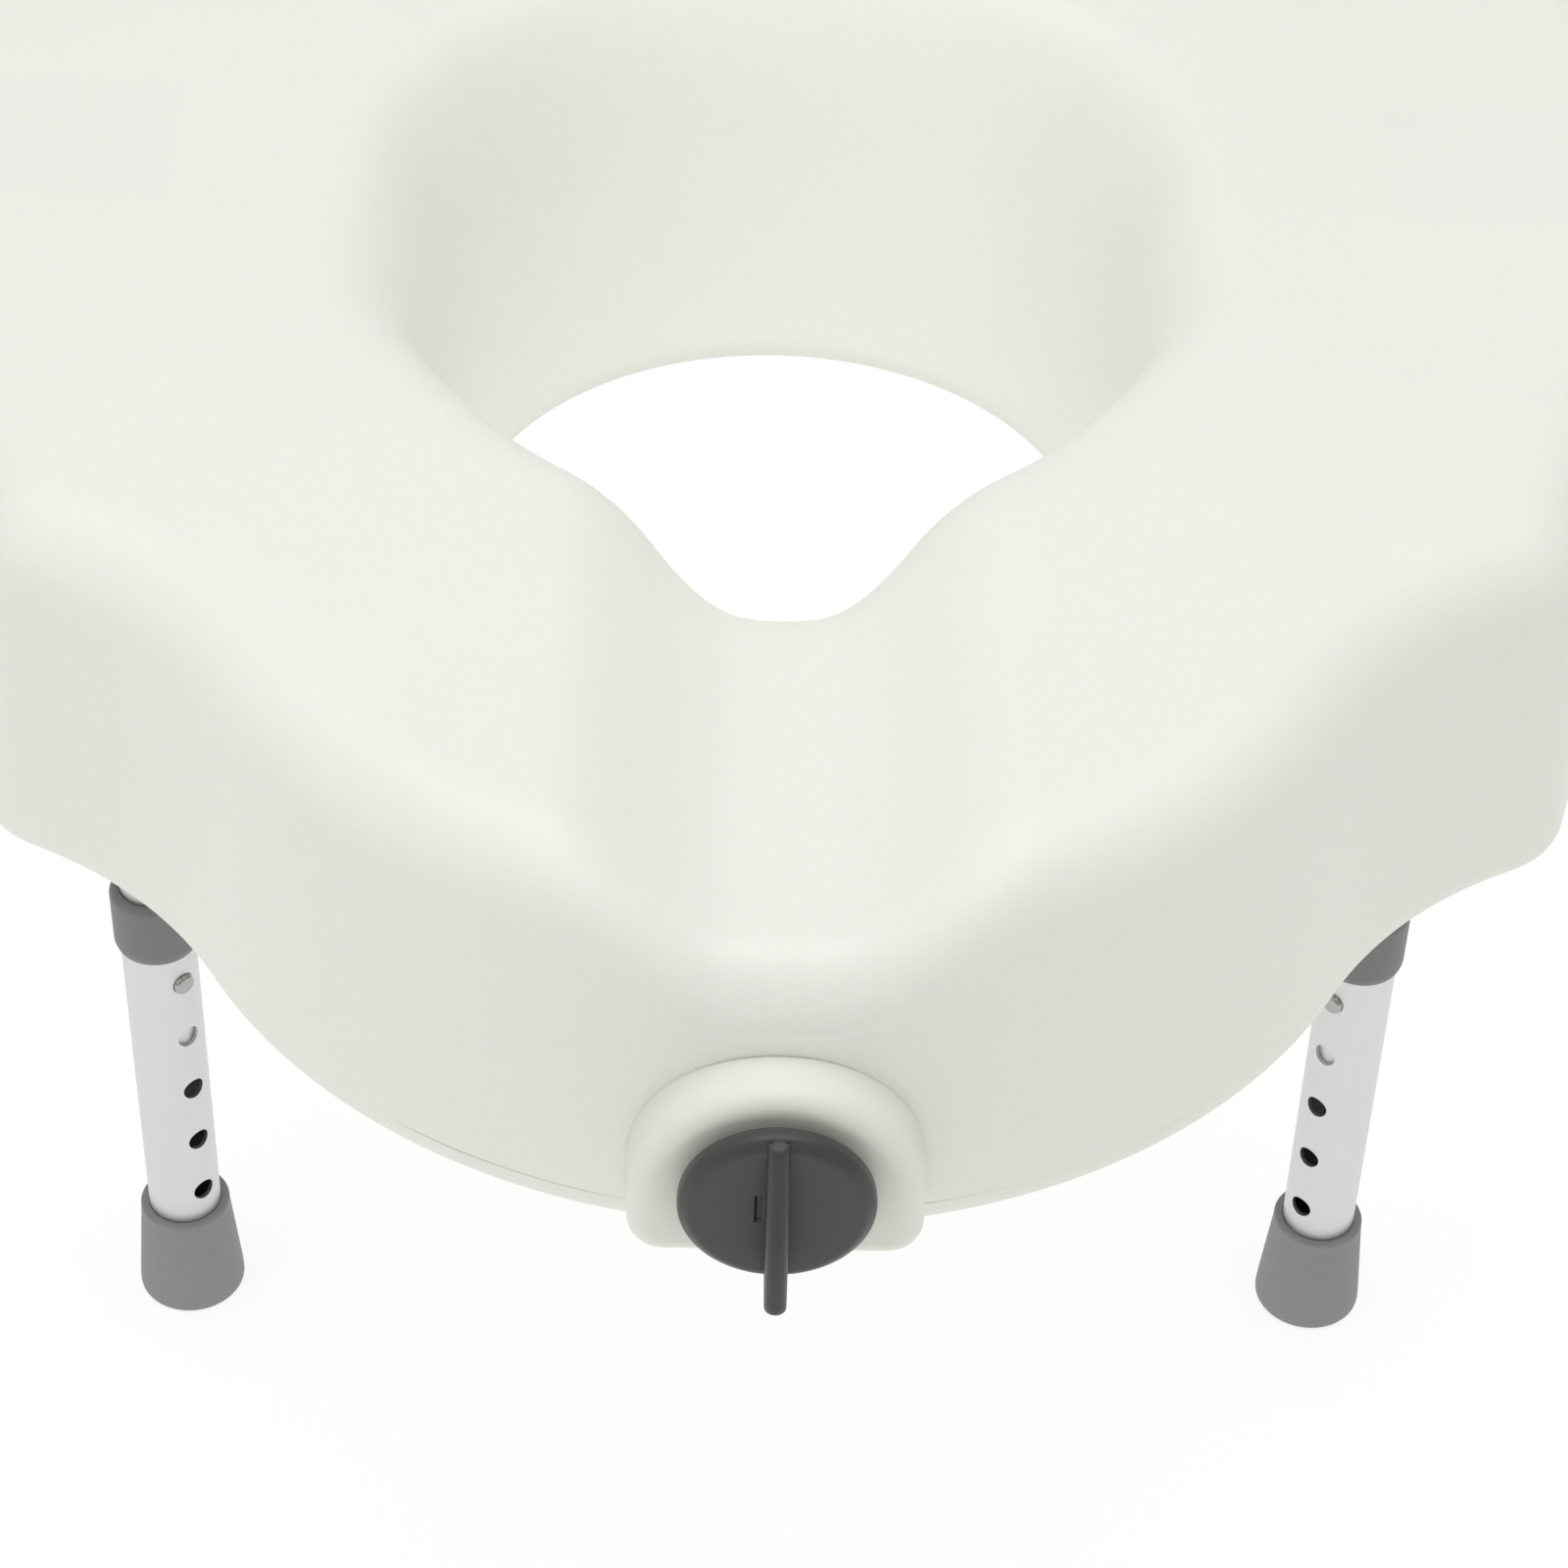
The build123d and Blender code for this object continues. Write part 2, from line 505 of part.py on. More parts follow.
for name, side in (("left", -1), ("right", 1)):
    turn = math.radians(hole_turn)
    outward = Vector(-side * math.sin(turn), -math.cos(turn), 0)
    foot_centre = Vector(side * leg_x, leg_y, floor_z)

    with BuildPart() as leg_socket:
        with BuildSketch(Plane.XY.offset(flange_z)):
            with Locations((side * leg_x, leg_y)):
                RectangleRounded(flange_side, flange_side, 8)
                with GridLocations(socket_screw_pitch, socket_screw_pitch, 2, 2):
                    Circle(socket_screw_radius + slip, mode=Mode.SUBTRACT)
        extrude(amount=flange_thick)
        with Locations((side * leg_x, leg_y, socket_end_z)):
            Cylinder(socket_radius, socket_depth + 1, align=(Align.CENTER, Align.CENTER, Align.MIN))
            for web in (45, 135):
                with Locations(Location((0, 0, socket_depth / 2), (0, 0, web))):
                    Box(
                        2 * (socket_radius + web_reach), web_thick, socket_depth / 2 + 1,
                        align=(Align.CENTER, Align.CENTER, Align.MIN))
            Cylinder(
                upper_radius + running, socket_depth,
                align=(Align.CENTER, Align.CENTER, Align.MIN), mode=Mode.SUBTRACT)
        with Locations(Location((side * leg_x, leg_y, tube_bolt_z), (0, 90, 0))):
            Cylinder(bolt_radius + running, 4 * socket_radius, mode=Mode.SUBTRACT)
    leg_socket.part.label = f"leg_socket_{name}"
    export_step(leg_socket.part, f"parts/leg_socket_{name}.step")

    with BuildPart() as socket_screws:
        with Locations((side * leg_x, leg_y, flange_z)):
            with GridLocations(socket_screw_pitch, socket_screw_pitch, 2, 2):
                Cylinder(
                    socket_screw_radius, flange_thick + socket_screw_bite,
                    align=(Align.CENTER, Align.CENTER, Align.MIN))
                Cylinder(screw_head_radius, screw_head, align=(Align.CENTER, Align.CENTER, Align.MAX))
    socket_screws.part.label = f"socket_screws_{name}"
    export_step(socket_screws.part, f"parts/socket_screws_{name}.step")

    with BuildPart() as upper_tube:
        with BuildSketch(Plane.XY.offset(upper_bottom_z)):
            with Locations((side * leg_x, leg_y)):
                Circle(upper_radius)
                Circle(upper_radius - upper_wall, mode=Mode.SUBTRACT)
        extrude(amount=tube_top_z - upper_bottom_z)
        with BuildSketch(Plane(origin=(side * leg_x, leg_y, button_z), z_dir=outward)):
            Circle(hole_radius)
        extrude(amount=2 * leg_outer, mode=Mode.SUBTRACT)
        with Locations(Location((side * leg_x, leg_y, tube_bolt_z), (0, 90, 0))):
            Cylinder(bolt_radius + running, 2 * leg_outer, mode=Mode.SUBTRACT)
    upper_tube.part.label = f"upper_tube_{name}"
    export_step(upper_tube.part, f"parts/upper_tube_{name}.step")

    with BuildPart() as tube_bolt:
        with BuildSketch(Plane.YZ.offset(side * leg_x - socket_radius - bolt_head)):
            with Locations((leg_y, tube_bolt_z)):
                RegularPolygon(bolt_head_radius, 6)
        extrude(amount=bolt_head)
        with Locations(Location((side * leg_x - socket_radius, leg_y, tube_bolt_z), (0, 90, 0))):
            Cylinder(
                bolt_radius, 2 * socket_radius + bolt_nut + 1.5, align=(Align.CENTER, Align.CENTER, Align.MIN))
        with BuildSketch(Plane.YZ.offset(side * leg_x + socket_radius)):
            with Locations((leg_y, tube_bolt_z)):
                RegularPolygon(bolt_head_radius, 6)
                Circle(bolt_radius, mode=Mode.SUBTRACT)
        extrude(amount=bolt_nut)
    tube_bolt.part.label = f"tube_bolt_{name}"
    export_step(tube_bolt.part, f"parts/tube_bolt_{name}.step")

    button_plane = Plane(origin=(side * leg_x, leg_y, button_z), z_dir=outward)
    with BuildPart() as snap_button:
        with BuildSketch(button_plane.offset(button_flange)):
            Circle(button_radius + 0.6)
        extrude(amount=0.8)
        with BuildSketch(button_plane.offset(button_flange)):
            Circle(button_radius)
        extrude(amount=button_tip - button_flange)
        top_edge = snap_button.edges().filter_by(GeomType.CIRCLE).sort_by(
            lambda edge: (edge.center() - foot_centre).dot(outward))[-1]
        fillet(top_edge, 1.6)
    snap_button.part.label = f"snap_button_{name}"
    export_step(snap_button.part, f"parts/snap_button_{name}.step")

    spring_plane = Plane(
        origin=(side * leg_x, leg_y, button_z), x_dir=outward, z_dir=outward.cross(Vector(0, 0, 1)))
    spring_middle = button_flange - spring_thick / 2
    with BuildPart() as button_spring:
        with BuildSketch(spring_plane):
            with BuildLine():
                FilletPolyline(
                    (spring_middle, spring_rise), (spring_middle, -spring_arm), (spring_bend, -spring_drop),
                    (-spring_bend, -spring_drop), (-spring_far, -spring_arm), (-spring_far, spring_end),
                    radius=spring_fillet)
            trace(line_width=spring_thick)
        extrude(amount=spring_width / 2, both=True)
    button_spring.part.label = f"button_spring_{name}"
    export_step(button_spring.part, f"parts/button_spring_{name}.step")

    with BuildPart() as leg_tube:
        with BuildSketch(Plane.XY.offset(leg_bottom_z)):
            with Locations((side * leg_x, leg_y)):
                Circle(leg_radius)
                Circle(leg_radius - leg_wall, mode=Mode.SUBTRACT)
        extrude(amount=leg_top_z - leg_bottom_z)
        for step in range(hole_count):
            hole_z = button_z - step * hole_pitch
            with BuildSketch(Plane(origin=(side * leg_x, leg_y, hole_z), z_dir=outward)):
                Circle(hole_radius)
            extrude(amount=2 * leg_outer, mode=Mode.SUBTRACT)
    leg_tube.part.label = f"leg_tube_{name}"
    export_step(leg_tube.part, f"parts/leg_tube_{name}.step")

    with BuildPart() as leg_collar:
        with BuildSketch(Plane.XZ):
            with BuildLine():
                Polyline(
                    (leg_radius + running / 2, collar_bottom_z),
                    (collar_radius - 0.9, collar_bottom_z),
                    (collar_radius, collar_bottom_z + 2.6),
                    (collar_radius, collar_bottom_z + collar_height - 1.5),
                    (collar_radius - 1.2, collar_bottom_z + collar_height),
                    (upper_radius + 0.1, collar_bottom_z + collar_height),
                    (upper_radius + 0.1, leg_top_z),
                    (leg_radius + running / 2, leg_top_z), close=True)
            make_face()
        revolve(axis=Axis.Z)
    leg_collar.part.position = (side * leg_x, leg_y, 0)
    leg_collar.part.label = f"leg_collar_{name}"
    export_step(leg_collar.part, f"parts/leg_collar_{name}.step")

    with BuildPart() as foot:
        with BuildSketch(Plane.XZ):
            with BuildLine():
                Polyline(
                    (0, floor_z), (foot_base_radius, floor_z),
                    (foot_top_radius, floor_z + foot_height),
                    (leg_radius + running / 2, floor_z + foot_height),
                    (leg_radius + running / 2, floor_z + foot_sole), (0, floor_z + foot_sole), close=True)
            make_face()
            outer_corner = vertices().sort_by(Axis.X)[-1]
            fillet(outer_corner, 3)
            rim_corner = vertices().group_by(Axis.Y)[-1].sort_by(Axis.X)[-1]
            fillet(rim_corner, 1.2)
        revolve(axis=Axis.Z)
    foot.part.position = (side * leg_x, leg_y, 0)
    foot.part.label = f"foot_{name}"
    export_step(foot.part, f"parts/foot_{name}.step")

    with BuildPart() as foot_washer:
        with BuildSketch(Plane.XY.offset(floor_z + foot_sole)):
            with Locations((side * leg_x, leg_y)):
                Circle(leg_radius - running)
        extrude(amount=foot_washer_thick)
    foot_washer.part.label = f"foot_washer_{name}"
    export_step(foot_washer.part, f"parts/foot_washer_{name}.step")
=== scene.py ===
"""Raised toilet seat with a front bowl lock and two adjustable legs, dressed for rendering.

Metres, +Z up, front towards -Y. The origin is the middle of the opening on the bowl-rim plane.
The sections follow the seat as it is put together: shell, ribs, bowl pads, lock, legs, then the studio.
"""
import math

import bmesh
import bpy
import numpy as np
from mathutils import Matrix, Vector


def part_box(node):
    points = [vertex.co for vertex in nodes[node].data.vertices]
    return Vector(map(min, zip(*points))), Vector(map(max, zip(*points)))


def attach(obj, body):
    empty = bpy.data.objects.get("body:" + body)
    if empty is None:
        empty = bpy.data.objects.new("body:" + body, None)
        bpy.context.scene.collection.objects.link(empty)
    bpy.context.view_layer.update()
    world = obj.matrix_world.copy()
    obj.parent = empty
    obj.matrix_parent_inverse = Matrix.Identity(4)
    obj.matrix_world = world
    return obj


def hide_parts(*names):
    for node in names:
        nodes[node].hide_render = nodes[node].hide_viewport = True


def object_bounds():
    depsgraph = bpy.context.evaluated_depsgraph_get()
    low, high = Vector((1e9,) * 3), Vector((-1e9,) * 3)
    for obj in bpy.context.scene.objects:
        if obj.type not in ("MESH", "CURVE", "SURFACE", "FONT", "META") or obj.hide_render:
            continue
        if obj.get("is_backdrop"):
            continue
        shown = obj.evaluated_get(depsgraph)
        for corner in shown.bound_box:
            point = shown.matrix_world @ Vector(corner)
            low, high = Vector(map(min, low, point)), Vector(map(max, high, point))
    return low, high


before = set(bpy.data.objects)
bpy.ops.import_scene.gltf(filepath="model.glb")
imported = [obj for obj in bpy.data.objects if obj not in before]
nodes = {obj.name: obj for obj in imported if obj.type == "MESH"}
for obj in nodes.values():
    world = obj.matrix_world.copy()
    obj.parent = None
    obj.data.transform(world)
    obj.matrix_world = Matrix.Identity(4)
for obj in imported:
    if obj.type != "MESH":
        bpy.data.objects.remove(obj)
cad_low, cad_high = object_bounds()
MM = 0.001

# ---------------------------------------------------------------- the moulded shell
# One thick moulding of natural polyethylene: deck, skirt and the sleeve of the keyhole opening.
# Its wall is 4 mm all over, the rear of the sleeve slopes back, and a smooth trough runs from
# the opening's nose over the front edge. A faint, broken line of painted shade, where a fine groove would
# shade, follows the front of the skirt's foot.
shell_low, shell_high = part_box("seat_shell")
deck_z = shell_high.z
skirt_z = shell_low.z
front_y = shell_low.y
wall = 4 * MM
skirt_round = 24 * MM
trough_round = 15 * MM
lip_round = 22 * MM
draft = math.tan(math.radians(2.5))
trough_depth = 24 * MM
throat_front = 113 * MM
throat_taper = 0.89
back_run_top = 40 * MM
back_run_foot = 1 * MM
lip_down, lip_out = 40 * MM, 30 * MM
around = 480
loop_points = 2880
keyhole_moves = [(45 * MM, 45), (100 * MM, -7), (17 * MM,), (128 * MM, 34)]
skirt_moves = [
    (168 * MM, 60), (125 * MM, -34), (32 * MM, 46), (80 * MM,), (480 * MM, 18), (30 * MM,), (92 * MM, 90)]


def arc_chain(start, heading, moves, steps=120):
    """Straight runs and arcs, each tangent to the last. A move is (radius, turn in degrees) or (length,).
    An arc's points are its first point turned about its centre by equal shares of the turn."""
    point, angle, found = np.array(start, float), math.radians(heading), [np.array([start], float)]
    for move in moves:
        way = np.linspace(0, 1, steps)[1:, None]
        if len(move) == 1:
            run = point + way * move[0] * np.array([math.cos(angle), math.sin(angle)])
        else:
            radius, turn = move[0], math.radians(move[1])
            centre = point + math.copysign(radius, turn) * np.array([-math.sin(angle), math.cos(angle)])
            spoke, swing = point - centre, way[:, 0] * turn
            run = centre + np.stack([
                spoke[0] * np.cos(swing) - spoke[1] * np.sin(swing),
                spoke[0] * np.sin(swing) + spoke[1] * np.cos(swing)], 1)
            angle += turn
        found.append(run)
        point = run[-1]
    return np.concatenate(found), point, math.degrees(angle)


def closed_loop(half):
    """The right half mirrored, then points evenly spaced along the loop with their outward normals,
    which are the direction between the neighbours three points away, turned by a right angle."""
    loop = np.concatenate([half, (half * [-1, 1])[-2:0:-1]])
    along = np.concatenate([[0], np.cumsum(np.linalg.norm(np.diff(loop, axis=0, append=loop[:1]), axis=1))])
    even = np.linspace(0, along[-1], loop_points, endpoint=False)
    ring = np.stack([np.interp(even, along, np.append(loop[:, k], loop[0, k])) for k in (0, 1)], 1)
    run = np.roll(ring, -3, 0) - np.roll(ring, 3, 0)
    run /= np.linalg.norm(run, axis=1, keepdims=True)
    return ring, np.stack([run[:, 1], -run[:, 0]], 1)


def throat_loop(share, back_run):
    """The keyhole outline of the opening at a scale, its sides carried straight back by back_run."""
    moves = [(share * move[0], *move[1:]) for move in keyhole_moves]
    nose, end, heading = arc_chain((0, -share * throat_front), 0, moves)
    back_radius = end[0] / math.sin(math.radians(180 - heading))
    back = arc_chain(end, heading, [(back_radius, 90 - heading), (share * back_run,), (back_radius, 90)])[0]
    return closed_loop(np.concatenate([nose, back[1:]]))


skirt_half, skirt_end = arc_chain((0, front_y), 0, skirt_moves)[:2]
skirt_ring, skirt_normal = closed_loop(np.concatenate([skirt_half, [[0, skirt_end[1]]]]))
foot_ring, foot_normal = throat_loop(throat_taper, back_run_foot)
throat_ring, throat_normal = throat_loop(1, back_run_top)
bearing = np.linspace(-math.pi, math.pi, around, endpoint=False)


def smooth(t):
    """Rises from 0 to 1 with level ends: three squares less two cubes."""
    t = np.clip(t, 0, 1)
    return t * t * (3 - 2 * t)


def trough(x, y):
    """How far the trough sinks the deck: a level floor and sides that roll over, gone beside the opening."""
    across = 1 - smooth((np.abs(x) - 9 * MM) / (50 * MM))
    return trough_depth * across * smooth((-68 * MM - y) / (52 * MM))


def reach(ring, normal, offset):
    """Distance from the origin to the outline, moved out along its normals, on each bearing."""
    moved = ring + normal * np.broadcast_to(offset, len(ring))[:, None]
    turn = np.arctan2(moved[:, 1], moved[:, 0])
    order = np.argsort(turn)
    return np.interp(bearing, turn[order], np.linalg.norm(moved, axis=1)[order], period=2 * math.pi)


in_trough = trough(skirt_ring[:, 0], skirt_ring[:, 1]) / trough_depth
round_on_ring = skirt_round + (trough_round - skirt_round) * in_trough


def shell_row(distance, height):
    """A ring of the shell: distances on the bearings at one height, sunk by the trough near the deck."""
    x, y = distance * np.cos(bearing), distance * np.sin(bearing)
    share = smooth((height - (deck_z - 62 * MM)) / (62 * MM))
    return np.stack([x, y, height - trough(x, y) * share], 1)


def skin(inset, fine):
    """Rings of one skin from the foot of the opening, over its lip, the deck and the skirt's round, to the
    skirt's foot. inset is 0 for the outer skin and the wall for the inner one; fine scales the ring count.
    The lip is a curve from wall to deck: a point on it is the middle one of two points that slide along
    the wall and the deck by the same share. It is long at the sides and short at the nose."""
    rings, top = [], deck_z - inset
    low_reach = reach(foot_ring, foot_normal, inset)
    high_reach = reach(throat_ring, throat_normal, inset)
    slope = (high_reach - low_reach) / (deck_z - lip_round - skirt_z)
    at_nose = smooth(-np.sin(bearing) / 0.6)
    down = lip_down + (lip_round - lip_down) * at_nose
    out = lip_out + (lip_round - lip_out) * at_nose
    lip_start = low_reach + slope * (deck_z - down - skirt_z)
    for t in np.linspace(0, 1, int(16 * fine))[:-1]:
        height = skirt_z + t * (deck_z - down - skirt_z)
        rings.append(shell_row(low_reach + t * (lip_start - low_reach), height))
    lip_corner = lip_start + slope * (down - inset)
    lip_end = high_reach + out
    for t in np.linspace(0, 1, int(24 * fine)):
        distance = (1 - t) ** 2 * lip_start + 2 * t * (1 - t) * lip_corner + t ** 2 * lip_end
        rings.append(shell_row(distance, deck_z - down + (1 - (1 - t) ** 2) * (down - inset)))
    lean = draft * (deck_z - skirt_z)
    deck_end = reach(skirt_ring, skirt_normal, -(lean + round_on_ring))
    for t in np.linspace(0, 1, int(34 * fine))[1:-1]:
        rings.append(shell_row(lip_end + t * (deck_end - lip_end), top))
    for a in np.linspace(math.pi / 2, 0, int(20 * fine)):
        offset = -(inset + lean * (1 - 0.12 * math.cos(a)) + (round_on_ring - inset) * (1 - math.cos(a)))
        height = top - (skirt_round - inset) * (1 - math.sin(a))
        rings.append(shell_row(reach(skirt_ring, skirt_normal, offset), height))
    low = top - (skirt_round - inset)
    for t in np.linspace(0, 1, int(34 * fine))[1:]:
        height = low + t * (skirt_z - low)
        offset = -(inset + draft * (height - skirt_z))
        rings.append(shell_row(reach(skirt_ring, skirt_normal, offset), height))
    return rings


def rolled_edge(first, last, drop):
    """Rings that carry one skin's edge over to the other in a half round, drop below them."""
    turns = np.linspace(0, math.pi, 7)[1:-1]
    return [first + (last - first) * (1 - math.cos(a)) / 2 - [0, 0, drop * math.sin(a)] for a in turns]


def new_piece(name, points, faces, flat=False):
    """An object at the origin from points and faces, its doubles merged and its faces turned outwards."""
    mesh = bpy.data.meshes.new(name)
    mesh.from_pydata(np.asarray(points).tolist(), [], np.asarray(faces).tolist())
    work = bmesh.new()
    work.from_mesh(mesh)
    bmesh.ops.remove_doubles(work, verts=work.verts, dist=1e-6)
    bmesh.ops.recalc_face_normals(work, faces=work.faces)
    if not flat and work.calc_volume(signed=True) < 0:
        bmesh.ops.reverse_faces(work, faces=work.faces)
    work.to_mesh(mesh)
    work.free()
    if not flat:
        mesh.shade_smooth()
    piece = bpy.data.objects.new(name, mesh)
    bpy.context.scene.collection.objects.link(piece)
    return piece


def grid_piece(name, grid, wrap_rows=True):
    """A piece from a grid of points (rows, columns, 3): columns closed round, and rows too if wrap_rows."""
    rows, columns = grid.shape[:2]
    r = np.arange(rows if wrap_rows else rows - 1)[:, None]
    c = np.arange(columns)[None]
    r2, c2 = (r + 1) % rows, (c + 1) % columns
    corners = [r * columns + c, r * columns + c2, r2 * columns + c2, r2 * columns + c]
    return new_piece(name, grid.reshape(-1, 3), np.stack(corners, -1).reshape(-1, 4))


def moulded(name, colour, rough, speckle=0.03, grain=900.0, grain_depth=0.05, cloud=0.02, glow=0.0):
    """Moulded plastic or rubber: slow clouding and fine speckle in the colour, a sheen that varies,
    and a fine skin grain as bump. glow is the share of light that spreads under
    the skin."""
    material = bpy.data.materials.new(name)
    material.use_nodes = True
    tree = material.node_tree
    shader = tree.nodes["Principled BSDF"]
    place = tree.nodes.new("ShaderNodeTexCoord")
    slow = tree.nodes.new("ShaderNodeTexNoise")
    slow.inputs["Scale"].default_value = 9.0
    slow.inputs["Detail"].default_value = 4.0
    fine = tree.nodes.new("ShaderNodeTexNoise")
    fine.inputs["Scale"].default_value = grain
    fine.inputs["Detail"].default_value = 5.0
    fine.inputs["Roughness"].default_value = 0.65
    for noise in (slow, fine):
        tree.links.new(place.outputs["Object"], noise.inputs["Vector"])
    tone = tree.nodes.new("ShaderNodeValToRGB")
    for stop, level, share in zip(tone.color_ramp.elements, (0.3, 0.7), (1 - cloud, 1 + cloud)):
        stop.position = level
        stop.color = (*[min(1, part * share) for part in colour], 1)
    tree.links.new(slow.outputs["Fac"], tone.inputs["Fac"])
    dots = tree.nodes.new("ShaderNodeMapRange")
    dots.inputs["From Min"].default_value = 0.35
    dots.inputs["From Max"].default_value = 0.65
    dots.inputs["To Min"].default_value = 1 - speckle
    tree.links.new(fine.outputs["Fac"], dots.inputs["Value"])
    speck = tree.nodes.new("ShaderNodeMix")
    speck.data_type = "RGBA"
    speck.blend_type = "MULTIPLY"
    speck.inputs["Factor"].default_value = 1.0
    tree.links.new(tone.outputs["Color"], speck.inputs["A"])
    tree.links.new(dots.outputs["Result"], speck.inputs["B"])
    tree.links.new(speck.outputs["Result"], shader.inputs["Base Color"])
    sheen = tree.nodes.new("ShaderNodeMapRange")
    sheen.inputs["To Min"].default_value = rough - 0.06
    sheen.inputs["To Max"].default_value = rough + 0.06
    tree.links.new(slow.outputs["Fac"], sheen.inputs["Value"])
    tree.links.new(sheen.outputs["Result"], shader.inputs["Roughness"])
    bump = tree.nodes.new("ShaderNodeBump")
    bump.inputs["Strength"].default_value = grain_depth
    bump.inputs["Distance"].default_value = 0.2 * MM
    tree.links.new(fine.outputs["Fac"], bump.inputs["Height"])
    tree.links.new(bump.outputs["Normal"], shader.inputs["Normal"])
    if glow:
        shader.inputs["Subsurface Weight"].default_value = glow
        shader.inputs["Subsurface Radius"].default_value = (1.0, 0.95, 0.6)
        shader.inputs["Subsurface Scale"].default_value = wall
    return material


def add_painted_groove_shade(material, height, half, behind, depth):
    """Paints shade into the colour in a thin level line, as a fine groove would shade: full at its height,
    gone half above or below it, times a slow noise that hides most of its length, times a fade that leaves
    nothing further back than behind."""
    tree = material.node_tree
    shader = tree.nodes["Principled BSDF"]
    paint = shader.inputs["Base Color"].links[0].from_socket
    place = tree.nodes.new("ShaderNodeTexCoord")
    split = tree.nodes.new("ShaderNodeSeparateXYZ")
    tree.links.new(place.outputs["Object"], split.inputs["Vector"])
    away = tree.nodes.new("ShaderNodeMath")
    away.operation = "COMPARE"
    away.inputs[1].default_value = height
    away.inputs[2].default_value = half
    tree.links.new(split.outputs["Z"], away.inputs[0])
    patches = tree.nodes.new("ShaderNodeTexNoise")
    patches.inputs["Scale"].default_value = 14.0
    tree.links.new(place.outputs["Object"], patches.inputs["Vector"])
    shown = tree.nodes.new("ShaderNodeMapRange")
    shown.inputs["From Min"].default_value = 0.5
    shown.inputs["From Max"].default_value = 0.62
    shown.inputs["To Max"].default_value = depth
    tree.links.new(patches.outputs["Fac"], shown.inputs["Value"])
    front = tree.nodes.new("ShaderNodeMapRange")
    front.inputs["From Min"].default_value = behind
    front.inputs["From Max"].default_value = behind - 20 * MM
    tree.links.new(split.outputs["Y"], front.inputs["Value"])
    both, all_three = tree.nodes.new("ShaderNodeMath"), tree.nodes.new("ShaderNodeMath")
    both.operation = all_three.operation = "MULTIPLY"
    tree.links.new(away.outputs["Value"], both.inputs[0])
    tree.links.new(shown.outputs["Result"], both.inputs[1])
    tree.links.new(both.outputs["Value"], all_three.inputs[0])
    tree.links.new(front.outputs["Result"], all_three.inputs[1])
    line = tree.nodes.new("ShaderNodeMix")
    line.data_type = "RGBA"
    # painted shade: the dark colour of the groove's shade line
    line.inputs["B"].default_value = (0.25, 0.22, 0.16, 1)
    tree.links.new(all_three.outputs["Value"], line.inputs["Factor"])
    tree.links.new(paint, line.inputs["A"])
    tree.links.new(line.outputs["Result"], shader.inputs["Base Color"])


def finish_with(piece, material):
    """Gives every face of a piece or CAD node one material."""
    piece.data.materials.clear()
    piece.data.materials.append(material)


def fit_piece(piece, material, body, slot, *replaced):
    """Gives a piece its material and body, and hides the CAD nodes that it stands for; slot is not used."""
    finish_with(piece, material)
    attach(piece, body)
    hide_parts(*replaced)


milky = moulded("milky_polyethylene", (0.855, 0.862, 0.815), 0.42, speckle=0.012, grain=700.0,
                grain_depth=0.06, cloud=0.008, glow=0.25)
# painted shade of a fine groove along the front of the skirt's foot
add_painted_groove_shade(milky, skirt_z + 4.2 * MM, 0.22 * MM, -190 * MM, 0.55)
outer_skin, inner_skin = skin(0, 1), skin(wall, 0.5)
skirt_edge = rolled_edge(outer_skin[-1], inner_skin[-1], 0.9 * MM)
throat_edge = rolled_edge(inner_skin[0], outer_skin[0], 0.9 * MM)
shell = grid_piece("shell_moulding", np.array(outer_skin + skirt_edge + inner_skin[::-1] + throat_edge))
fit_piece(shell, milky, "seat", "shell", "seat_shell")

# ---------------------------------------------------------------- ribs and lands under the deck
# Plates moulded with the shell: four run from the sleeve to the skirt, two guide the clamp jaw,
# and a thick square land over each leg takes the screws of its socket.
rib_half = 2.5 * MM
rib_foot = 4 * MM
rib_root = 0.6 * MM
tube_low, tube_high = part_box("leg_tube_right")
leg_x = (tube_low.x + tube_high.x) / 2
leg_y = (tube_low.y + tube_high.y) / 2
socket_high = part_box("leg_socket_right")[1]
jaw_low, jaw_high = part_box("clamp_jaw")
guide_x = (jaw_high.x - jaw_low.x) / 2 + 0.3 * MM + rib_half
under_deck = np.array(inner_skin)


def plate(name, section, way, half):
    """A flat plate: a closed section, pushed half its thickness each way along a direction."""
    count = len(section)
    push = np.array(way) * half
    points = np.concatenate([section - push, section + push])
    k = np.arange(count)
    sides = np.stack([k, (k + 1) % count, count + (k + 1) % count, count + k], 1).tolist()
    mesh = bpy.data.meshes.new(name)
    mesh.from_pydata(points.tolist(), [], sides + [k[::-1].tolist(), (count + k).tolist()])
    piece = bpy.data.objects.new(name, mesh)
    bpy.context.scene.collection.objects.link(piece)
    work = bmesh.new()
    work.from_mesh(mesh)
    bmesh.ops.triangulate(work, faces=[face for face in work.faces if len(face.verts) > 4])
    bmesh.ops.recalc_face_normals(work, faces=work.faces)
    work.to_mesh(mesh)
    work.free()
    return piece


def rib_section(line):
    """A rib's outline: the shell's underside on its line, raised a little into the wall, level at the foot."""
    line = line + [0, 0, rib_root]
    line = line[line[:, 2] > rib_foot]
    ends = np.array([line[-1], line[0]])
    ends[:, 2] = rib_foot
    return np.concatenate([line, ends])


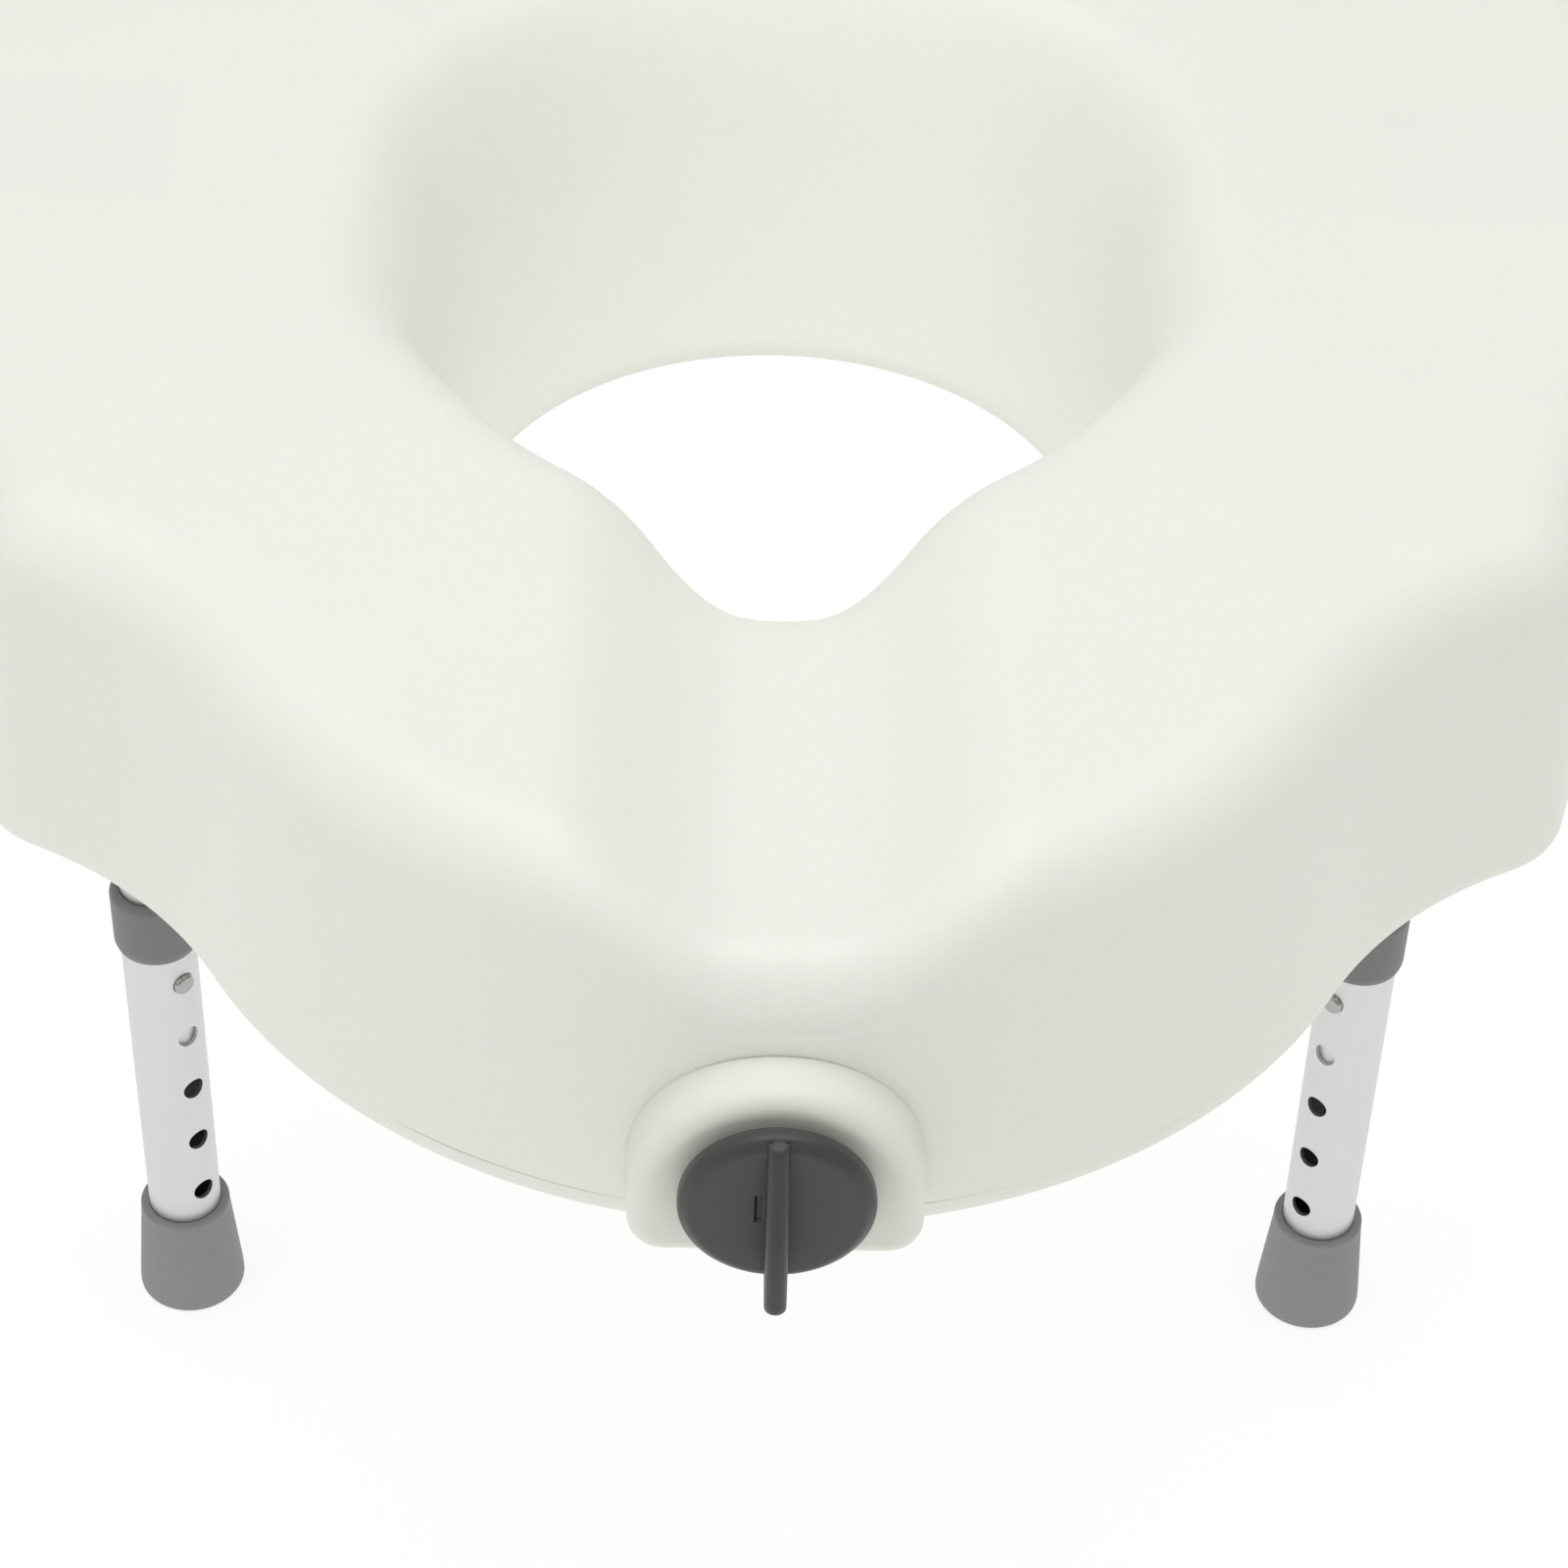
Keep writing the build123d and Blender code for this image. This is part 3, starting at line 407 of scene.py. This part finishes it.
for number, degrees in enumerate((-15, 50, 130, -165)):
    angle = math.radians(degrees)
    column = round((angle + math.pi) / (2 * math.pi) * around)
    across = (-math.sin(angle), math.cos(angle), 0)
    rib = plate(f"shell_rib_{number + 1}", rib_section(under_deck[:, column]), across, rib_half)
    fit_piece(rib, milky, "seat", "shell", "seat_shell")
for name, side in (("left", -1), ("right", 1)):
    line = under_deck[:, around // 4].copy()
    near_deck = smooth((line[:, 2] - 20 * MM) / (20 * MM))
    line[:, 2] += near_deck * (trough(line[:, 0], line[:, 1]) - trough(guide_x, line[:, 1]))
    line[:, 0] = side * guide_x
    guide = plate(f"jaw_guide_{name}", rib_section(line), (1, 0, 0), rib_half)
    fit_piece(guide, milky, "seat", "shell", "seat_shell")


def rounded_slab(name, centre, half, low, high, corner, edge):
    """A slab from low to high: a rounded rectangle in plan, drawn in along a half round at its two edges."""
    turn = np.linspace(0, 2 * math.pi, 96, endpoint=False)
    sweep = np.linspace(-math.pi / 2, math.pi / 2, 10)[:, None]
    reach_in = corner - edge * (1 - np.cos(sweep))
    x = centre[0] + np.sign(np.cos(turn)) * (half[0] - corner) + reach_in * np.cos(turn)
    y = centre[1] + np.sign(np.sin(turn)) * (half[1] - corner) + reach_in * np.sin(turn)
    z = np.where(sweep < 0, low + edge, high - edge) + edge * np.sin(sweep) + 0 * turn
    grid = np.stack([x, y, z], -1)
    caps = [np.broadcast_to([centre[0], centre[1], level], (1, 96, 3)) for level in (low, high)]
    return grid_piece(name, np.concatenate([caps[0], grid, caps[1]]), wrap_rows=False)


land_half = 31 * MM
for name, side in (("left", -1), ("right", 1)):
    land = rounded_slab(f"leg_land_{name}", (side * leg_x, leg_y), (land_half, land_half),
                        socket_high.z, deck_z - wall + 0.5 * MM, 6 * MM, 0.8 * MM)
    fit_piece(land, milky, "seat", "shell", "seat_shell")

# ---------------------------------------------------------------- rubber pads on the bowl's rim
# Six dark rubber blocks, pressed on the feet of the ribs, carry the seat on the bowl.
dark_rubber = moulded("pad_dark_rubber", (0.035, 0.035, 0.036), 0.7, speckle=0.15, grain=1200.0,
                      grain_depth=0.25, cloud=0.1)
finish_with(nodes["rim_pads"], dark_rubber)
finish_with(nodes["jaw_pad"], dark_rubber)

# ---------------------------------------------------------------- lock pad
# A thick ivory arch of moulded plastic, screwed to the skirt from inside, carries the lock's knob.
ivory = moulded("ivory_pad_plastic", (0.80, 0.812, 0.745), 0.38, speckle=0.01, grain=800.0,
                grain_depth=0.05, cloud=0.01, glow=0.25)
finish_with(nodes["lock_pad"], ivory)

# ---------------------------------------------------------------- lock knob
# A dark grey disc with a thick rounded wing across it, moulded in one piece with the hub behind.
# A small slot beside the wing shows where the knob was released from its mould.
knob_low, knob_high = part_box("lock_knob")
pad_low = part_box("lock_pad")[0]
knob_z = (knob_low.z + knob_high.z) / 2
knob_radius = (knob_high.x - knob_low.x) / 2
disc_back_y = pad_low.y - 4 * MM
disc_face_y = disc_back_y - 6 * MM
wing_tip_y = knob_low.y
hub_radius = 10 * MM


def rounded(corners, radii, steps=6):
    """A line through corners with each corner cut by a curve: a point on it is the middle one of two
    points that slide along the corner's sides, between them by the same share."""
    corners = np.asarray(corners, float)
    found = [corners[:1]]
    for before, corner, after, radius in zip(corners[:-2], corners[1:-1], corners[2:], radii):
        start = corner + (before - corner) * min(0.5, radius / np.linalg.norm(before - corner))
        stop = corner + (after - corner) * min(0.5, radius / np.linalg.norm(after - corner))
        t = np.linspace(0, 1, steps)[:, None]
        found.append((1 - t) ** 2 * start + 2 * t * (1 - t) * corner + t ** 2 * stop)
    return np.concatenate(found + [corners[-1:]])


def turned(name, profile, centre, axis="Z", steps=128, closed=False):
    """A turned piece: each (radius, place along the axis) of a profile goes once round the axis."""
    turn = np.linspace(0, 2 * math.pi, steps, endpoint=False)
    radius, along = profile[:, :1], profile[:, 1:] + 0 * turn
    if axis == "Z":
        grid = np.stack([centre[0] + radius * np.cos(turn), centre[1] + radius * np.sin(turn), along], -1)
    else:
        grid = np.stack([centre[0] + radius * np.cos(turn), along, centre[1] + radius * np.sin(turn)], -1)
    return grid_piece(name, grid, wrap_rows=closed)


knob_grey = moulded("knob_grey_plastic", (0.047, 0.047, 0.048), 0.42, speckle=0.10, grain=1500.0,
                    grain_depth=0.16, cloud=0.05)
hub_back_y = knob_high.y
disc_side = rounded([
    (0, hub_back_y), (hub_radius, hub_back_y), (hub_radius, disc_back_y),
    (knob_radius - 0.2 * MM, disc_back_y), (knob_radius, disc_back_y - 1.2 * MM),
    (knob_radius, disc_face_y + 2.2 * MM),
    (knob_radius - 2.6 * MM, disc_face_y), (12 * MM, disc_face_y)],
    [0.5 * MM, 1 * MM, 1 * MM, 0.8 * MM, 1 * MM, 1.2 * MM])
face_in = np.stack([np.linspace(12 * MM, 0, 60)[1:], np.full(59, disc_face_y)], 1)
disc_turn = np.linspace(0, 2 * math.pi, 240, endpoint=False)
disc_profile = np.concatenate([disc_side, face_in])
disc_grid = np.stack([
    disc_profile[:, :1] * np.cos(disc_turn), disc_profile[:, 1:] + 0 * disc_turn,
    knob_z + disc_profile[:, :1] * np.sin(disc_turn)], -1)
slot_half_x, slot_half_z, slot_depth = 0.9 * MM, 4.5 * MM, 0.8 * MM
slot_away_x = np.abs(disc_grid[..., 0] + 4.4 * MM) - slot_half_x
slot_away_z = np.abs(disc_grid[..., 2] - (knob_z + 1.5 * MM)) - slot_half_z
on_face = disc_grid[..., 1] < disc_back_y - 5 * MM
in_slot = smooth(-np.maximum(slot_away_x, slot_away_z) / (0.3 * MM)) * on_face
disc_grid[..., 1] += slot_depth * in_slot
disc = grid_piece("knob_disc", disc_grid, wrap_rows=False)
fit_piece(disc, knob_grey, "knob", "knob", "lock_knob")

wing_half = 2.7 * MM
wing_reach = disc_face_y - wing_tip_y
wing_edge = rounded([
    (disc_face_y + 1 * MM, knob_z + 0.97 * knob_radius),
    (disc_face_y - 1.6 * MM, knob_z + 0.95 * knob_radius),
    (disc_face_y - 0.88 * wing_reach, knob_z - 0.15 * knob_radius), (wing_tip_y, knob_z - 0.80 * knob_radius),
    (wing_tip_y + 1 * MM, knob_z - 0.86 * knob_radius), (disc_face_y + 1 * MM, knob_z - 0.92 * knob_radius)],
    [2 * MM, 7 * MM, 2 * MM, 2 * MM], steps=12)
edge_turn = np.linspace(-math.pi / 2, math.pi / 2, 15)
edge_x = wing_half * np.sin(edge_turn)
edge_in = wing_half * (1 - np.cos(edge_turn))
round_y = np.minimum(wing_edge[:, :1] + edge_in, disc_face_y + 1.5 * MM)
base_y = np.full((len(wing_edge), 1), disc_face_y + 1.5 * MM)
wing_y = np.concatenate([base_y, round_y, base_y], 1)
wing_x = np.broadcast_to(np.concatenate([[-wing_half], edge_x, [wing_half]]), wing_y.shape)
wing_z = np.broadcast_to(wing_edge[:, 1:], wing_y.shape)
wing_grid = np.stack([wing_x, wing_y, wing_z], -1)
wing_caps = [np.broadcast_to(wing_grid[k].mean(0), (1, wing_grid.shape[1], 3)) for k in (0, -1)]
wing = grid_piece("knob_wing", np.concatenate([wing_caps[0], wing_grid, wing_caps[1]]), wrap_rows=False)
fit_piece(wing, knob_grey, "knob", "knob", "lock_knob")

# ---------------------------------------------------------------- lock screw, ring, washer and pad screws
# A zinc-plated screw with a coarse rolled thread joins knob and jaw. A spring ring behind the skirt
# keeps it from sliding, and a nylon washer lets the knob turn on the pad.


def metal(name, colour, rough, brush, depth=0.05):
    """Drawn or plated metal: a noise stretched along the draw varies the colour, the sheen and the bump."""
    material = bpy.data.materials.new(name)
    material.use_nodes = True
    tree = material.node_tree
    shader = tree.nodes["Principled BSDF"]
    shader.inputs["Metallic"].default_value = 1.0
    place = tree.nodes.new("ShaderNodeTexCoord")
    stretch = tree.nodes.new("ShaderNodeMapping")
    stretch.inputs["Scale"].default_value = brush
    tree.links.new(place.outputs["Object"], stretch.inputs["Vector"])
    grain = tree.nodes.new("ShaderNodeTexNoise")
    grain.inputs["Scale"].default_value = 1.0
    grain.inputs["Detail"].default_value = 6.0
    tree.links.new(stretch.outputs["Vector"], grain.inputs["Vector"])
    tone = tree.nodes.new("ShaderNodeValToRGB")
    for stop, level, share in zip(tone.color_ramp.elements, (0.3, 0.7), (0.98, 1.02)):
        stop.position = level
        stop.color = (*[min(1, part * share) for part in colour], 1)
    tree.links.new(grain.outputs["Fac"], tone.inputs["Fac"])
    tree.links.new(tone.outputs["Color"], shader.inputs["Base Color"])
    sheen = tree.nodes.new("ShaderNodeMapRange")
    sheen.inputs["To Min"].default_value = rough - 0.07
    sheen.inputs["To Max"].default_value = rough + 0.07
    tree.links.new(grain.outputs["Fac"], sheen.inputs["Value"])
    tree.links.new(sheen.outputs["Result"], shader.inputs["Roughness"])
    bump = tree.nodes.new("ShaderNodeBump")
    bump.inputs["Strength"].default_value = depth
    bump.inputs["Distance"].default_value = 0.05 * MM
    tree.links.new(grain.outputs["Fac"], bump.inputs["Height"])
    tree.links.new(bump.outputs["Normal"], shader.inputs["Normal"])
    return material


plated = metal("zinc_plated_steel", (0.66, 0.66, 0.66), 0.33, brush=(400.0, 400.0, 400.0))
nylon = moulded("white_nylon", (0.66, 0.66, 0.62), 0.45, speckle=0.05, grain=900.0,
                grain_depth=0.08, cloud=0.03)
screw_low, screw_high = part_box("lock_screw")
screw_radius = (screw_high.x - screw_low.x) / 2
thread_lead = 8 * MM
thread_deep = 0.9 * MM
screw_y = np.linspace(screw_low.y, screw_high.y, 560)[:, None]
screw_turn = np.linspace(0, 2 * math.pi, 96, endpoint=False)
phase = screw_y / thread_lead * 2 * math.pi - screw_turn
threaded = smooth((screw_y - (front_y + 8 * MM)) / (2 * MM))
tip_taper = smooth((screw_high.y - screw_y) / (1.5 * MM))
wave = 0.5 - 0.5 * np.clip(1.8 * np.cos(2 * phase), -1, 1)
screw_r = (screw_radius - thread_deep * threaded * wave) * (0.8 + 0.2 * tip_taper)
screw_grid = np.stack([
    screw_r * np.cos(screw_turn), screw_y + 0 * screw_r, knob_z + screw_r * np.sin(screw_turn)], -1)
screw_caps = [np.broadcast_to([0, end, knob_z], (1, 96, 3)) for end in (screw_low.y, screw_high.y)]
screw_rows = np.concatenate([screw_caps[0], screw_grid, screw_caps[1]])
screw = grid_piece("lock_screw_thread", screw_rows, wrap_rows=False)
fit_piece(screw, plated, "knob", "steel", "lock_screw")
for name in ("screw_ring", "pad_screws", "jaw_nut"):
    finish_with(nodes[name], plated)
finish_with(nodes["knob_washer"], nylon)
finish_with(nodes["clamp_jaw"], nylon)

# ---------------------------------------------------------------- legs
# An aluminium tube hangs from a nylon socket under each side, and a wider one slides on it. A sprung
# steel button in the upper tube snaps into one of five holes. A grey collar caps the sliding tube.
aluminium = metal("satin_aluminium", (0.70, 0.70, 0.705), 0.45, brush=(2500.0, 2500.0, 25.0))
button_steel = metal("bright_button_steel", (0.42, 0.42, 0.41), 0.2, brush=(300.0, 300.0, 300.0))
collar_grey = moulded("collar_grey_plastic", (0.20, 0.20, 0.203), 0.5, speckle=0.08, grain=1500.0,
                      grain_depth=0.14, cloud=0.04)
foot_grey = moulded("foot_grey_rubber", (0.29, 0.29, 0.292), 0.62, speckle=0.10, grain=1200.0,
                    grain_depth=0.25, cloud=0.05)
sleeve_gap = 0.03 * MM
for name, side in (("left", -1), ("right", 1)):
    for part in ("leg_tube", "upper_tube"):
        finish_with(nodes[f"{part}_{name}"], aluminium)
    finish_with(nodes[f"snap_button_{name}"], button_steel)
    for part in ("button_spring", "socket_screws", "tube_bolt", "foot_washer"):
        finish_with(nodes[f"{part}_{name}"], plated)
    finish_with(nodes[f"leg_socket_{name}"], nylon)
    centre = (side * leg_x, leg_y)

    # the collar: a ring with a softly chamfered foot and top
    low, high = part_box(f"leg_collar_{name}")
    outer = (high.x - low.x) / 2
    tube_radius = (tube_high.x - tube_low.x) / 2
    upper_low, upper_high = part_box(f"upper_tube_{name}")
    inner = (upper_high.x - upper_low.x) / 2 + 0.1 * MM
    collar_side = rounded([
        (tube_radius + sleeve_gap, tube_high.z), (tube_radius + sleeve_gap, low.z), (outer - 0.9 * MM, low.z),
        (outer, low.z + 2.6 * MM), (outer, high.z - 1.6 * MM), (outer - 1.4 * MM, high.z),
        (inner, high.z), (inner, tube_high.z)],
        [0.2 * MM, 0.4 * MM, 0.9 * MM, 0.9 * MM, 0.9 * MM, 0.4 * MM])
    collar = turned(f"collar_{name}", collar_side, centre, closed=True)
    fit_piece(collar, collar_grey, f"leg_{name}", "collar_plastic", f"leg_collar_{name}")

    # the foot: a flared rubber cup with a soft lower edge, a thin rolled rim and rings under its sole
    low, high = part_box(f"foot_{name}")
    base, rim = (high.x - low.x) / 2, tube_radius + 3.15 * MM
    bore_foot = low.z + 6 * MM
    tread = [(0, low.z)]
    for ring in (3, 6.5, 10):
        tread += [(ring * MM, low.z), ((ring + 0.4) * MM, low.z + 1 * MM),
                  ((ring + 1.4) * MM, low.z + 1 * MM), ((ring + 1.8) * MM, low.z)]
    foot_side = rounded(tread + [
        (base, low.z), (base - 0.1 * MM, low.z + 5 * MM), (rim, high.z - 3 * MM), (rim, high.z),
        (tube_radius + sleeve_gap, high.z), (tube_radius + sleeve_gap, bore_foot), (0, bore_foot)],
        [0.2 * MM] * 12 + [3.4 * MM, 2.5 * MM, 2 * MM, 1.3 * MM, 0.6 * MM, 0.2 * MM])
    foot = turned(f"foot_cup_{name}", foot_side, centre)
    fit_piece(foot, foot_grey, f"leg_{name}", "foot_rubber", f"foot_{name}")

# ---------------------------------------------------------------- studio
# A white floor that glows a little, an even white surround, a broad soft light overhead and a
# weaker one from the left. The camera stands in front and above, looking down along a long lens.
floor_z = cad_low.z
floor_half = 6.0
floor = new_piece("studio_floor", [
    (-floor_half, -floor_half, floor_z), (floor_half, -floor_half, floor_z),
    (floor_half, floor_half, floor_z), (-floor_half, floor_half, floor_z)], [(0, 1, 2, 3)], flat=True)
studio_white = bpy.data.materials.new("studio_white")
studio_white.use_nodes = True
floor_shader = studio_white.node_tree.nodes["Principled BSDF"]
floor_shader.inputs["Base Color"].default_value = (0.3, 0.3, 0.3, 1)
floor_shader.inputs["Roughness"].default_value = 1.0
floor_shader.inputs["Specular IOR Level"].default_value = 0.0
floor_shader.inputs["Emission Color"].default_value = (1, 0.995, 0.985, 1)
floor_shader.inputs["Emission Strength"].default_value = 0.80
finish_with(floor, studio_white)
floor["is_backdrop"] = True

world = bpy.data.worlds.new("studio_surround")
world.use_nodes = True
world.node_tree.nodes["Background"].inputs["Color"].default_value = (1, 0.99, 0.965, 1)
world.node_tree.nodes["Background"].inputs["Strength"].default_value = 0.5
bpy.context.scene.world = world


def soft_light(name, place, aim, size, power, colour):
    """A square area light looking at a point."""
    lamp = bpy.data.lights.new(name, "AREA")
    lamp.size = size
    lamp.energy = power
    lamp.color = colour
    light = bpy.data.objects.new(name, lamp)
    light.location = place
    light.rotation_euler = (Vector(aim) - Vector(place)).to_track_quat("-Z", "Y").to_euler()
    bpy.context.scene.collection.objects.link(light)


soft_light("overhead_light", (0.0, -0.1, 1.9), (0, -0.05, 0.05), 2.2, 24, (0.985, 1.0, 0.995))
soft_light("left_light", (-1.9, -1.0, 1.1), (0, 0, 0), 1.4, 4, (1, 1, 1))

eye = Vector((-0.0166, -0.9443, 0.7274))
pitch, yaw, roll = math.radians(41.235), math.radians(1.30), math.radians(-1.874)
frame_width = 36.0
focal_share = 2.6014
ahead = Vector((math.sin(yaw) * math.cos(pitch), math.cos(yaw) * math.cos(pitch), -math.sin(pitch)))
level = Vector((math.cos(yaw), -math.sin(yaw), 0))
down = ahead.cross(level)
right = math.cos(roll) * level + math.sin(roll) * down
up = math.sin(roll) * level - math.cos(roll) * down
camera_data = bpy.data.cameras.new("camera")
camera_data.sensor_width = frame_width
camera_data.lens = frame_width * focal_share
camera_data.clip_start = 0.05
camera = bpy.data.objects.new("camera", camera_data)
camera.matrix_world = Matrix((
    (right.x, up.x, -ahead.x, eye.x), (right.y, up.y, -ahead.y, eye.y),
    (right.z, up.z, -ahead.z, eye.z), (0, 0, 0, 1)))
bpy.context.scene.collection.objects.link(camera)
bpy.context.scene.camera = camera
bpy.context.scene.view_settings.view_transform = "Standard"

low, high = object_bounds()
